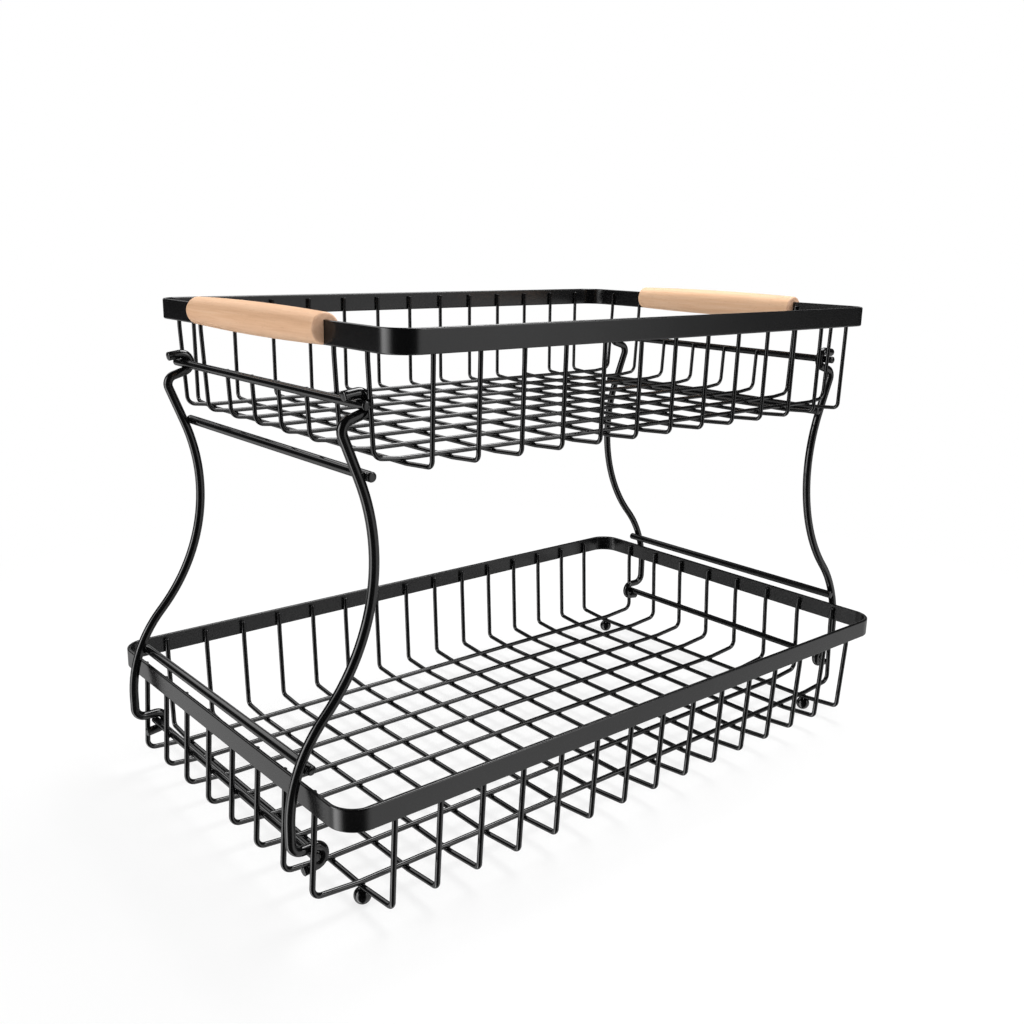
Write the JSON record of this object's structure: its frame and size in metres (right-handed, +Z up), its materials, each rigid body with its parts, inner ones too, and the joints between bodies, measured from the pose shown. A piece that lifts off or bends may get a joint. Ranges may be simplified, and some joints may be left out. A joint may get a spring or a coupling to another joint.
{
  "type": "tiered wire basket",
  "caption": "Two-tier black wire basket with bowed wire side frames that hook round end rods, ball feet, and wooden handles on the upper rim.",
  "frame": {"origin": "under the middle of the object, at the level of the table that the ball feet stand on", "axes": "+Z up, X along the long sides of the baskets, Y along the handles"},
  "size_m": [0.4228, 0.2496, 0.273],
  "materials": {
    "black_powder_coat": "satin black powder coat on steel wire",
    "beech": "fine-sanded clear-finished beech"
  },
  "bodies": {
    "lower_basket": {"lower_cross_wire_1": "black_powder_coat", "lower_cross_wire_10": "black_powder_coat", "lower_cross_wire_11": "black_powder_coat", "lower_cross_wire_12": "black_powder_coat", "lower_cross_wire_13": "black_powder_coat", "lower_cross_wire_14": "black_powder_coat", "lower_cross_wire_15": "black_powder_coat", "lower_cross_wire_2": "black_powder_coat", "lower_cross_wire_3": "black_powder_coat", "lower_cross_wire_4": "black_powder_coat", "lower_cross_wire_5": "black_powder_coat", "lower_cross_wire_6": "black_powder_coat", "lower_cross_wire_7": "black_powder_coat", "lower_cross_wire_8": "black_powder_coat", "lower_cross_wire_9": "black_powder_coat", "lower_end_rods": "black_powder_coat", "lower_long_wire_1": "black_powder_coat", "lower_long_wire_2": "black_powder_coat", "lower_long_wire_3": "black_powder_coat", "lower_long_wire_4": "black_powder_coat", "lower_long_wire_5": "black_powder_coat", "lower_long_wire_6": "black_powder_coat", "lower_long_wire_7": "black_powder_coat", "lower_long_wire_8": "black_powder_coat", "lower_rim": "black_powder_coat", "ball_feet": "black_powder_coat"},
    "left_frame": {"left_crossbar_lower": "black_powder_coat", "left_crossbar_upper": "black_powder_coat", "left_leg_front": "black_powder_coat", "left_leg_rear": "black_powder_coat"},
    "upper_basket": {"upper_cross_wire_1": "black_powder_coat", "upper_cross_wire_10": "black_powder_coat", "upper_cross_wire_11": "black_powder_coat", "upper_cross_wire_12": "black_powder_coat", "upper_cross_wire_13": "black_powder_coat", "upper_cross_wire_2": "black_powder_coat", "upper_cross_wire_3": "black_powder_coat", "upper_cross_wire_4": "black_powder_coat", "upper_cross_wire_5": "black_powder_coat", "upper_cross_wire_6": "black_powder_coat", "upper_cross_wire_7": "black_powder_coat", "upper_cross_wire_8": "black_powder_coat", "upper_cross_wire_9": "black_powder_coat", "upper_end_rods": "black_powder_coat", "upper_long_wire_1": "black_powder_coat", "upper_long_wire_2": "black_powder_coat", "upper_long_wire_3": "black_powder_coat", "upper_long_wire_4": "black_powder_coat", "upper_long_wire_5": "black_powder_coat", "upper_long_wire_6": "black_powder_coat", "upper_long_wire_7": "black_powder_coat", "upper_long_wire_8": "black_powder_coat", "upper_rim": "black_powder_coat", "handle_left": "beech", "handle_right": "beech"},
    "right_frame": {"right_crossbar_lower": "black_powder_coat", "right_crossbar_upper": "black_powder_coat", "right_leg_front": "black_powder_coat", "right_leg_rear": "black_powder_coat"}
  },
  "joints": [
    {"name": "left_frame_sway", "type": "hinge", "parent": "lower_basket", "child": "left_frame", "pos_m": [-0.19712, 0, 0.0312], "axis": [0, 1, 0], "range_deg": [-2, 2]},
    {"name": "upper_basket_tilt", "type": "hinge", "parent": "left_frame", "child": "upper_basket", "pos_m": [-0.16991, 0, 0.2353], "axis": [0, 1, 0], "range_deg": [-2.37, 2.37]},
    {"name": "right_frame_sway", "type": "hinge", "parent": "upper_basket", "child": "right_frame", "pos_m": [0.16991, 0, 0.2353], "axis": [0, 1, 0], "range_deg": [-2.37, 2.37]}
  ],
  "couplings": [
    {"joint": "upper_basket_tilt", "follows": "left_frame_sway", "ratio": -1.1601},
    {"joint": "right_frame_sway", "follows": "left_frame_sway", "ratio": 1.1601}
  ]
}
